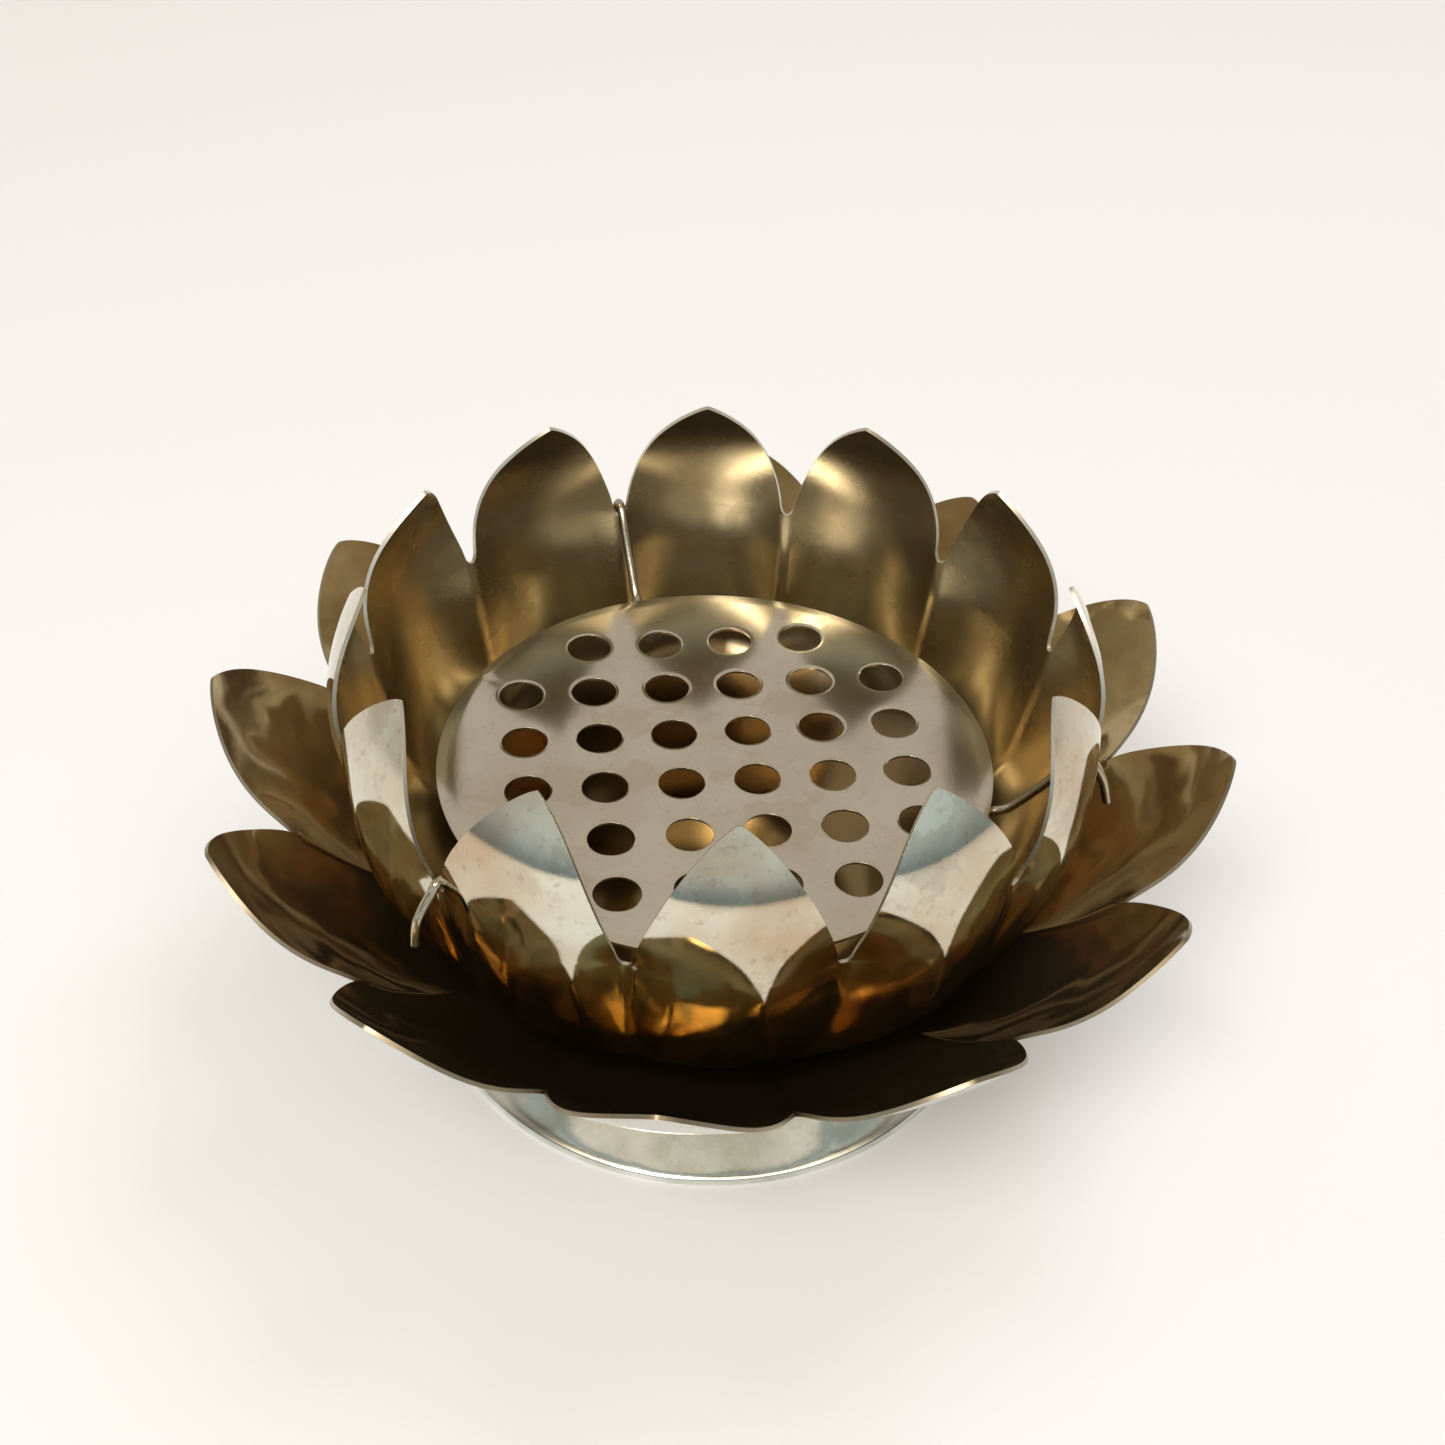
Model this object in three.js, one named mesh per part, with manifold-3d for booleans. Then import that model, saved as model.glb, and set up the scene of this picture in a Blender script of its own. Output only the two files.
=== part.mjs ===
// A lotus bowl with a lift-out flower frog: a twelve-petal cup standing in a wider twelve-petal plate on
// a flared foot, and a drilled disc that hangs in the cup by three wire hooks.
// Millimetres, +Z up. The origin is the centre of the foot's base, and a cup petal is centred on +Y.

import * as THREE from 'three';
import Module from 'manifold-3d';
import { mergeVertices } from 'three/addons/utils/BufferGeometryUtils.js';

// Driving dimensions, in millimetres and degrees.
const PETALS = 12;
const SHEET = 0.8; // thickness of the two pressed sheets of petals
const GAP = 0.3; // clearance between touching pieces

const FOOT_RADIUS = 61.7;
const FOOT_SHEET = 1.2;
const FOOT_NECK_RADIUS = 33.5;
const FOOT_TOP = 22.4;

const PLATE_TURN = 7.8; // the plate is turned clockwise from the cup
const PLATE_TIP_RADIUS = 105;
const PLATE_TIP_HEIGHT = 74.2;

const CUP_TIP_RADIUS = 68.2;
const CUP_TIP_HEIGHT = 106.5;
const CUP_NOTCH_HEIGHT = 76.8;

const DISC_RADIUS = 57.7;
const DISC_TOP = 64.35;
const DISC_SHEET = 1;
const DISC_ROLL = 0.35; // how far the disc's rim is rolled down
const DISC_FLAT_RADIUS = DISC_RADIUS - 2.5; // where the roll starts
const DISC_GRID = 6; // holes along each side of the square grid, whose corners are left out
const DISC_GRID_TURN = 4.2;
const HOLE_PITCH = 15.7;
const HOLE_DIAMETER = 9.5;

const WIRE_DIAMETER = 2;
const WIRE_GAP = 0.4; // between a wire and the flats of what it lies in
const SADDLE_LENGTH = 11;
const SADDLE_WIDTH = 8;
const SADDLE_DEPTH = 3.9;
const SADDLE_RADIUS = 50.4; // from the disc's centre to the saddle's

const SCREW_DIAMETER = 5;
const SCREW_HEAD_DIAMETER = 10;
const SCREW_HEAD_HEIGHT = 3;
const SCREW_END = 12;
const SCREW_CLEARANCE_RADIUS = SCREW_DIAMETER / 2 + 0.5;
const SEAL = { diameter: 14, thickness: 1.5 };
const FLAT_WASHER = { diameter: 12, thickness: 1.2 };
const SPRING_WASHER = { diameter: 9.2, thickness: 1.3 };
const NUT = { acrossFlats: 8, thickness: 4 };

// Heights of the sheets' middles where they are clamped together at the centre.
const PLATE_FLOOR = FOOT_TOP + GAP + SHEET / 2;
const CUP_FLOOR = PLATE_FLOOR + SHEET + GAP;
const DISC_UNDERSIDE = DISC_TOP - DISC_SHEET;

// How finely the shapes are faceted.
const ROUND = 48; // segments of a full turn on the large pieces
const SMALL_ROUND = 16;
const HOLE_SIDES = 12;
const WIRE_SIDES = 8;
const PETAL_COLUMNS = 4;

const wasm = await Module();
wasm.setup();

const HALF_PETAL = Math.PI / PETALS;
const { clamp, degToRad, lerp, smoothstep } = THREE.MathUtils;

// ---- Finishes ----

const silverPlate = () => new THREE.MeshStandardMaterial({ color: 0xb9b1a2, roughness: 0.22, metalness: 1 });
const satinSilver = () => new THREE.MeshStandardMaterial({ color: 0xc6c2b8, roughness: 0.38, metalness: 1 });
const solder = () => new THREE.MeshStandardMaterial({ color: 0x9a968d, roughness: 0.5, metalness: 0.9 });
const steel = () => new THREE.MeshStandardMaterial({ color: 0xa9a9a6, roughness: 0.4, metalness: 1 });
const rubber = () => new THREE.MeshStandardMaterial({ color: 0x2b2a28, roughness: 0.85, metalness: 0 });

// ---- Geometry helpers ----

function onlyPositions(geometry) {
  const bare = new THREE.BufferGeometry();
  bare.setAttribute('position', geometry.getAttribute('position').clone());
  if (geometry.index) bare.setIndex(geometry.index.clone());
  return mergeVertices(bare, 1e-3);
}

function triangles(geometry) {
  const index = geometry.index.array;
  const kept = [];
  for (let i = 0; i < index.length; i += 3) {
    const [a, b, c] = index.slice(i, i + 3);
    if (a !== b && b !== c && c !== a) kept.push([a, b, c]);
  }
  return kept;
}

function toSolid(geometry) {
  const bare = onlyPositions(geometry);
  return new wasm.Manifold(new wasm.Mesh({
    numProp: 3,
    vertProperties: new Float32Array(bare.getAttribute('position').array),
    triVerts: new Uint32Array(triangles(bare).flat()),
  }));
}

function toGeometry(solid) {
  const { vertProperties, triVerts } = solid.getMesh();
  const geometry = new THREE.BufferGeometry();
  geometry.setAttribute('position', new THREE.BufferAttribute(vertProperties, 3));
  geometry.setIndex(new THREE.BufferAttribute(triVerts, 1));
  return geometry;
}

function cut(body, tools) {
  return toGeometry(tools.reduce((left, tool) => left.subtract(toSolid(tool)), toSolid(body)));
}

function points2(pairs) {
  return pairs.map(([radius, height]) => new THREE.Vector2(radius, height));
}

// A solid of revolution about Z from [radius, height] points, which run anticlockwise in section.
function turned(section, segments = ROUND) {
  const points = points2(section);
  const onAxis = section[0][0] === 0;
  if (!onAxis) points.push(points[0].clone());
  const geometry = new THREE.LatheGeometry(points, segments).rotateX(Math.PI / 2);
  const bare = onlyPositions(geometry);
  bare.setIndex(triangles(bare).flat());
  return bare;
}

function ring(outerRadius, innerRadius, bottom, top, segments = SMALL_ROUND) {
  const section = [[innerRadius, bottom], [outerRadius, bottom], [outerRadius, top], [innerRadius, top]];
  return turned(section, segments);
}

function post(radius, bottom, top, segments = SMALL_ROUND) {
  return new THREE.CylinderGeometry(radius, radius, top - bottom, segments)
    .rotateX(Math.PI / 2)
    .translate(0, 0, (top + bottom) / 2);
}

// Gives an open sheet a thickness, half to each side, and closes it along its free edges.
function thicken(sheet, thickness) {
  const bare = onlyPositions(sheet);
  const faces = triangles(bare);
  bare.setIndex(faces.flat());
  bare.computeVertexNormals();
  const position = bare.getAttribute('position');
  const normal = bare.getAttribute('normal');
  const count = position.count;
  const vertices = new Float32Array(count * 6);
  const point = new THREE.Vector3();
  const direction = new THREE.Vector3();
  for (let i = 0; i < count; i += 1) {
    direction.fromBufferAttribute(normal, i);
    point.fromBufferAttribute(position, i).addScaledVector(direction, thickness / 2);
    point.toArray(vertices, i * 3);
    point.addScaledVector(direction, -thickness);
    point.toArray(vertices, (count + i) * 3);
  }
  const edges = new Set();
  for (const [a, b, c] of faces) {
    edges.add(`${a},${b}`).add(`${b},${c}`).add(`${c},${a}`);
  }
  const index = [];
  for (const [a, b, c] of faces) {
    index.push(a, b, c, count + a, count + c, count + b);
    for (const [from, to] of [[a, b], [b, c], [c, a]]) {
      if (edges.has(`${to},${from}`)) continue;
      index.push(to, from, count + from, to, count + from, count + to);
    }
  }
  const shell = new THREE.BufferGeometry();
  shell.setAttribute('position', new THREE.BufferAttribute(vertices, 3));
  shell.setIndex(index);
  return shell;
}

// ---- Petals ----

// A petal is a trough pressed about its centre line, a curve in the YZ plane. Neighbouring troughs meet in
// a crease up to the notch, and above it each petal narrows and flattens to its tip. Near the floor the
// troughs fade into a surface of revolution.
class Petal {
  constructor({ centreLine, ...shape }) {
    this.curve = new THREE.SplineCurve(points2(centreLine));
    this.length = this.curve.getLength();
    this.tipHeight = centreLine.at(-1)[1];
    Object.assign(this, shape);
    this.notchAt = this.findNotch();
  }

  // The centre line's point and inward normal at a distance along it, and the crease's sideways distance.
  section(distance) {
    const along = clamp(distance / this.length, 0, 1);
    const centre = this.curve.getPointAt(along);
    const tangent = this.curve.getTangentAt(along);
    const normal = new THREE.Vector2(-tangent.y, tangent.x);
    const slope = Math.tan(HALF_PETAL);
    const flattening = smoothstep(centre.y, this.notchHeight, this.tipHeight);
    const bend = 1 / (2 * lerp(this.troughRadius, this.tipTroughRadius, flattening));
    const root = Math.sqrt(1 - 4 * slope * slope * normal.x * bend * centre.x);
    return { centre, normal, bend, crease: 2 * slope * centre.x / (1 + root) };
  }

  creasePoint(distance) {
    const { centre, normal, bend, crease } = this.section(distance);
    return centre.clone().addScaledVector(normal, bend * crease * crease);
  }

  findNotch() {
    let low = this.length / 4;
    let high = this.length;
    while (high - low > 0.001) {
      const middle = (low + high) / 2;
      if (this.creasePoint(middle).y < this.notchHeight) low = middle;
      else high = middle;
    }
    return low;
  }

  // Half the petal's width at a distance along it: the crease below the notch, then a round-bottomed notch
  // that opens into the petal's pointed outline.
  halfWidthAt(distance, crease) {
    if (distance <= this.notchAt) return crease;
    const rise = (distance - this.notchAt) / (this.length - this.notchAt);
    const outline = this.halfWidth * Math.max(0, 1 - rise ** this.tipPower.height) ** this.tipPower.width;
    const free = Math.min(outline, crease);
    const opened = Math.min(1, (distance - this.notchAt) / this.notchDepth);
    return crease - (crease - free) * Math.sqrt(1 - (1 - opened) ** 2);
  }

  point(distance, across) {
    const { centre, normal, bend, crease } = this.section(distance);
    const side = across * this.halfWidthAt(distance, crease);
    const turn = HALF_PETAL * side / crease;
    const fade = smoothstep(centre.y, this.fadeFrom, this.fadeTo);
    return new THREE.Vector3(
      lerp(centre.x * Math.sin(turn), side, fade),
      lerp(centre.x * Math.cos(turn), centre.x + normal.x * bend * side * side, fade),
      lerp(centre.y, centre.y + normal.y * bend * side * side, fade),
    );
  }

  // Distances along the petal at which it is sampled: the clamped floor, the bowl, the notch, the tip.
  rows({ floorEnd, bowlRows, tipRows }) {
    const rows = [0];
    for (let i = 0; i <= bowlRows; i += 1) rows.push(lerp(floorEnd, this.notchAt, i / bowlRows));
    for (const step of [0.2, 0.5, 1]) rows.push(this.notchAt + step * this.notchDepth);
    for (let i = 1; i <= tipRows; i += 1) {
      const towardsTip = 1 - (1 - i / tipRows) ** 1.6;
      rows.push(lerp(this.notchAt + this.notchDepth, this.length, towardsTip));
    }
    return rows;
  }

  sheet(sampling) {
    const rows = this.rows(sampling);
    const positions = [];
    const index = [];
    const stride = PETAL_COLUMNS + 1;
    for (let petal = 0; petal < PETALS; petal += 1) {
      const first = positions.length / 3;
      rows.forEach((distance, row) => {
        for (let column = 0; column < stride; column += 1) {
          const point = this.point(distance, 2 * column / PETAL_COLUMNS - 1);
          point.applyAxisAngle(new THREE.Vector3(0, 0, 1), 2 * HALF_PETAL * petal);
          positions.push(point.x, point.y, point.z);
          if (row === 0 || column === 0) continue;
          const here = first + row * stride + column;
          const below = here - stride;
          index.push(below - 1, below, here, below - 1, here, here - 1);
        }
      });
    }
    const geometry = new THREE.BufferGeometry();
    geometry.setAttribute('position', new THREE.Float32BufferAttribute(positions, 3));
    geometry.setIndex(index);
    return thicken(geometry, SHEET);
  }
}

const cupPetal = new Petal({
  centreLine: [
    [SCREW_CLEARANCE_RADIUS, CUP_FLOOR], [28, CUP_FLOOR + 0.3], [42, 28], [52, 32.3], [60, 37.2],
    [65.8, 42.4], [70.4, 49], [73.7, 57], [76.1, 66], [77.5, 76], [77.2, 86], [74.4, 96],
    [CUP_TIP_RADIUS, CUP_TIP_HEIGHT],
  ],
  troughRadius: 30,
  tipTroughRadius: 90,
  fadeFrom: 34,
  fadeTo: 62,
  notchHeight: CUP_NOTCH_HEIGHT,
  notchDepth: 2.3,
  halfWidth: 17.9,
  tipPower: { height: 1.9, width: 0.86 },
});

const platePetal = new Petal({
  centreLine: [
    [SCREW_CLEARANCE_RADIUS, PLATE_FLOOR], [30, PLATE_FLOOR], [48, PLATE_FLOOR + 3], [64, PLATE_FLOOR + 8.6],
    [78, PLATE_FLOOR + 17.4], [89.5, PLATE_FLOOR + 28.6], [98.5, PLATE_FLOOR + 40],
    [PLATE_TIP_RADIUS, PLATE_TIP_HEIGHT],
  ],
  troughRadius: 54,
  tipTroughRadius: 140,
  fadeFrom: 24,
  fadeTo: 32,
  notchHeight: 50.7,
  notchDepth: 1.2,
  halfWidth: 22.7,
  tipPower: { height: 2, width: 0.74 },
});

// ---- Foot ----

// A trumpet-shaped foot with a flat base ring, a waist, and a flat top in which the screw hole sits.
function footGeometry() {
  const flare = [[FOOT_RADIUS, 1], [61, 1.9], [56, 4.5], [50, 7.7], [44, 11.2], [38, 15.4], [34.6, 19.3]];
  const top = [[FOOT_NECK_RADIUS, FOOT_TOP - 0.6], [FOOT_NECK_RADIUS - 0.8, FOOT_TOP]];
  const outside = [[FOOT_RADIUS, 0], ...flare, ...top, [SCREW_CLEARANCE_RADIUS, FOOT_TOP]];
  const inside = points2(outside.slice(1, -2)).map((point, i, all) => {
    const ahead = all[Math.min(i + 1, all.length - 1)].clone().sub(all[Math.max(i - 1, 0)]).normalize();
    return [point.x - ahead.y * FOOT_SHEET, point.y + ahead.x * FOOT_SHEET];
  });
  const underside = FOOT_TOP - FOOT_SHEET;
  const section = [
    ...outside,
    [SCREW_CLEARANCE_RADIUS, underside],
    ...inside.filter(([, height]) => height < underside - 0.5 && height > 0.5).reverse(),
    [FOOT_RADIUS - FOOT_SHEET, 0],
  ];
  return turned(section);
}

// ---- Centre fastening ----

function screwGeometry(headBottom) {
  const head = SCREW_HEAD_DIAMETER / 2;
  const shank = SCREW_DIAMETER / 2;
  const headTop = headBottom + SCREW_HEAD_HEIGHT;
  const body = turned([
    [0, SCREW_END], [shank - 0.6, SCREW_END], [shank, SCREW_END + 0.6], [shank, headBottom],
    [head, headBottom], [head, headBottom + 1.4], [head - 1.2, headTop - 0.4], [0, headTop],
  ], SMALL_ROUND);
  const slotDepth = 1.3;
  const slot = new THREE.BoxGeometry(2.2 * head, 1.2, 2 * slotDepth).translate(0, 0, headTop);
  return cut(body, [slot]);
}

function springWasherGeometry(bottom) {
  const { diameter, thickness } = SPRING_WASHER;
  const washer = ring(diameter / 2, SCREW_CLEARANCE_RADIUS, bottom, bottom + thickness);
  const split = new THREE.BoxGeometry(diameter, 0.8, 4 * thickness).rotateX(degToRad(25));
  split.translate(diameter / 2 + 1, 0, bottom + thickness / 2);
  return cut(washer, [split]);
}

function nutGeometry(bottom) {
  const corner = NUT.acrossFlats / 2 / Math.cos(Math.PI / 6);
  const blank = post(corner, bottom, bottom + NUT.thickness, 6);
  return cut(blank, [post(SCREW_DIAMETER / 2 + GAP, bottom - 1, bottom + NUT.thickness + 1)]);
}

// ---- Frog ----

function holeCentres() {
  const centres = [];
  const last = DISC_GRID - 1;
  for (let row = 0; row <= last; row += 1) {
    for (let column = 0; column <= last; column += 1) {
      const corner = (row === 0 || row === last) && (column === 0 || column === last);
      if (corner) continue;
      const centre = new THREE.Vector2(column - last / 2, row - last / 2).multiplyScalar(HOLE_PITCH);
      centres.push(centre.rotateAround(new THREE.Vector2(), degToRad(DISC_GRID_TURN)));
    }
  }
  return centres;
}

function frogDiscGeometry() {
  const disc = turned([
    [0, DISC_UNDERSIDE], [DISC_FLAT_RADIUS, DISC_UNDERSIDE], [DISC_RADIUS - 0.2, DISC_UNDERSIDE - DISC_ROLL],
    [DISC_RADIUS, DISC_TOP - DISC_ROLL - 0.3], [DISC_FLAT_RADIUS, DISC_TOP], [0, DISC_TOP],
  ]);
  const holes = holeCentres().map(({ x, y }) => (
    post(HOLE_DIAMETER / 2, DISC_UNDERSIDE - 2, DISC_TOP + 2, HOLE_SIDES).translate(x, y, 0)
  ));
  return cut(disc, holes);
}

// Where the wire runs under the disc, low enough to clear its rolled rim.
const WIRE_RUN = DISC_UNDERSIDE - DISC_ROLL - WIRE_GAP - WIRE_DIAMETER / 2;
const WIRE_START = SADDLE_RADIUS - SADDLE_LENGTH / 2 + 1.1;

// A hook seen from the side, in the radial plane: under the disc, up inside the cup, over the notch and
// down outside it by a leg that stands away from the bowl and may arch.
function hookPath({ legOut, legDrop, legArch }) {
  const legTop = new THREE.Vector2(76.6, 77.7);
  const side = [
    [WIRE_START, WIRE_RUN], [SADDLE_RADIUS, WIRE_RUN], [55, WIRE_RUN], [58.2, WIRE_RUN + 0.2], [61.2, 63.3],
    [64.4, 67.1], [68.3, 72.2], [72, 77.3], [73.7, 79], [75.4, 79.1], [legTop.x, legTop.y],
    [legTop.x + legOut * (0.5 + legArch), legTop.y - legDrop * 0.45], [legTop.x + legOut, legTop.y - legDrop],
  ];
  return new THREE.CatmullRomCurve3(side.map(([radius, height]) => new THREE.Vector3(0, radius, height)));
}

function hookGeometry(leg) {
  const section = new THREE.Shape();
  section.absarc(0, 0, WIRE_DIAMETER / 2, 0, 2 * Math.PI);
  const wire = new THREE.ExtrudeGeometry(section, {
    steps: 24,
    curveSegments: WIRE_SIDES / 2,
    bevelEnabled: false,
    extrudePath: hookPath(leg),
  });
  const bare = onlyPositions(wire);
  bare.setIndex(triangles(bare).flat());
  return bare;
}

// A mound of solder under the disc that the wire lies in, open on top along the wire.
function saddleGeometry() {
  const mound = new THREE.SphereGeometry(1, 16, 10).rotateX(Math.PI / 2);
  mound.scale(SADDLE_WIDTH / 2, SADDLE_LENGTH / 2, SADDLE_DEPTH).translate(0, SADDLE_RADIUS, DISC_UNDERSIDE);
  const room = 2 * SADDLE_LENGTH;
  const roof = turned([
    [0, DISC_UNDERSIDE - GAP], [DISC_FLAT_RADIUS, DISC_UNDERSIDE - GAP],
    [DISC_RADIUS, DISC_UNDERSIDE - DISC_ROLL - GAP], [DISC_RADIUS, DISC_UNDERSIDE + room],
    [0, DISC_UNDERSIDE + room],
  ]);
  const grooveRadius = WIRE_DIAMETER / 2 + WIRE_GAP;
  const grooveMiddle = WIRE_START - GAP + room / 2;
  const groove = new THREE.CylinderGeometry(grooveRadius, grooveRadius, room, WIRE_SIDES);
  groove.rotateY(Math.PI / WIRE_SIDES).translate(0, grooveMiddle, WIRE_RUN);
  const slot = new THREE.BoxGeometry(2 * grooveRadius, room, room);
  slot.translate(0, grooveMiddle, WIRE_RUN + room / 2);
  return cut(mound, [roof, groove, slot]);
}

// The hooks hang in three cup notches, named for where they stand, clockwise from +Y. Each has been bent
// by hand, so the legs outside the bowl differ.
const HOOKS = [
  { name: 'rear', azimuth: -15, legOut: 3, legDrop: 9, legArch: 0 },
  { name: 'right', azimuth: 105, legOut: 3.7, legDrop: 8.5, legArch: 0.1 },
  { name: 'front', azimuth: 225, legOut: 4.8, legDrop: 9.6, legArch: 0.3 },
];

// ---- Assembly ----

const flowerFrog = new THREE.Group();

function add(parent, name, geometry, material) {
  const mesh = new THREE.Mesh(geometry, material);
  mesh.name = name;
  parent.add(mesh);
  return mesh;
}

const bowl = new THREE.Group();
flowerFrog.add(bowl);
add(bowl, 'foot', footGeometry(), silverPlate());
const plateSampling = { floorEnd: 28, bowlRows: 6, tipRows: 4 };
const plate = add(bowl, 'outer_petal_plate', platePetal.sheet(plateSampling), silverPlate());
plate.rotation.z = -degToRad(PLATE_TURN);
add(bowl, 'petal_cup', cupPetal.sheet({ floorEnd: 25, bowlRows: 8, tipRows: 5 }), silverPlate());

const sealBottom = CUP_FLOOR + SHEET / 2 + GAP;
const sealTop = sealBottom + SEAL.thickness;
add(bowl, 'sealing_washer', ring(SEAL.diameter / 2, SCREW_CLEARANCE_RADIUS, sealBottom, sealTop), rubber());
add(bowl, 'centre_screw', screwGeometry(sealTop + GAP), steel());

const washerTop = FOOT_TOP - FOOT_SHEET - GAP;
const washerBottom = washerTop - FLAT_WASHER.thickness;
const flatWasher = ring(FLAT_WASHER.diameter / 2, SCREW_CLEARANCE_RADIUS, washerBottom, washerTop);
add(bowl, 'flat_washer', flatWasher, steel());
const springBottom = washerBottom - GAP - SPRING_WASHER.thickness;
add(bowl, 'spring_washer', springWasherGeometry(springBottom), steel());
add(bowl, 'hex_nut', nutGeometry(springBottom - GAP - NUT.thickness), steel());

const frog = new THREE.Group();
flowerFrog.add(frog);
add(frog, 'frog_disc', frogDiscGeometry(), satinSilver());
for (const { name, azimuth, ...leg } of HOOKS) {
  const hook = add(frog, `hook_wire_${name}`, hookGeometry(leg), satinSilver());
  const saddle = add(frog, `solder_saddle_${name}`, saddleGeometry(), solder());
  hook.rotation.z = -degToRad(azimuth);
  saddle.rotation.z = -degToRad(azimuth);
}

export default flowerFrog;
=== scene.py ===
"""Looks for a silver-plated lotus bowl with a lift-out flower frog.

The bowl is a tall cup of twelve petals standing in a wider plate of twelve petals on a flared foot, and the
frog is a drilled disc that hangs in the cup by three wire hooks. Lengths are metres, and the fields that end
in _mm are millimetres.
"""

import logging
import math
from bisect import bisect_right
from collections.abc import Iterable
from dataclasses import dataclass, field
from enum import Enum

import bmesh
import bpy
from mathutils import Matrix, Vector, noise


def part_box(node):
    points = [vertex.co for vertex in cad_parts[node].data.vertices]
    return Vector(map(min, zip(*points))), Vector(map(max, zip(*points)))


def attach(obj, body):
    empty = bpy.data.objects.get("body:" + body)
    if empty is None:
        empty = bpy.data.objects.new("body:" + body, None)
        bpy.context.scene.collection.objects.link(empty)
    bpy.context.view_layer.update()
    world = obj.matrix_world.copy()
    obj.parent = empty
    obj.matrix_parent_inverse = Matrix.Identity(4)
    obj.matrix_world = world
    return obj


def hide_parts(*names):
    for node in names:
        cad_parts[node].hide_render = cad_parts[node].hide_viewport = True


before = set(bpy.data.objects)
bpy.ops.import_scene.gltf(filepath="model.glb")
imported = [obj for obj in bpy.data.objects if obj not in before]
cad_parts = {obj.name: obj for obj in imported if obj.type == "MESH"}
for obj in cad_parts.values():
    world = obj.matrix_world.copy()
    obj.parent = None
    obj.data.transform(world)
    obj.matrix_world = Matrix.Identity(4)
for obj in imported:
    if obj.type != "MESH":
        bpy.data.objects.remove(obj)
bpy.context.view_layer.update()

MM = 0.001
PETALS = 12
HALF_PETAL = math.pi / PETALS
UP = Vector((0.0, 0.0, 1.0))
log = logging.getLogger("flower_frog")


class Body(Enum):
    """The rigid bodies that pieces ride on."""

    BOWL = "bowl"
    FROG = "frog"


# ---- Materials ----


def linear(hex_colour: str) -> tuple[float, float, float, float]:
    """Turns an sRGB hex colour such as "#c9c4b8" into linear RGBA.

    Args:
        hex_colour: The colour as six hex digits after a hash.

    Returns:
        Linear red, green, blue and an alpha of 1.
    """
    channels = [int(hex_colour[i : i + 2], 16) / 255 for i in (1, 3, 5)]
    flat = [c / 12.92 if c <= 0.04045 else ((c + 0.055) / 1.055) ** 2.4 for c in channels]
    return (flat[0], flat[1], flat[2], 1.0)


def add_node(
    tree: bpy.types.NodeTree, kind: str, inputs: dict | None = None, **settings: object
) -> bpy.types.Node:
    """Adds a node with its settings, input values and links.

    Args:
        tree: The node tree to add to.
        kind: The node's type name.
        inputs: Input name or number to a value, or to the output socket that feeds it.
        settings: The node's own properties.

    Returns:
        The new node.
    """
    made = tree.nodes.new(kind)
    for name, value in settings.items():
        setattr(made, name, value)
    for name, value in (inputs or {}).items():
        if isinstance(value, bpy.types.NodeSocket):
            tree.links.new(value, made.inputs[name])
        else:
            made.inputs[name].default_value = value
    return made


def per_mm(size_mm: float) -> float:
    """The texture scale that gives features of about this size."""
    return 1 / (size_mm * MM)


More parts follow.
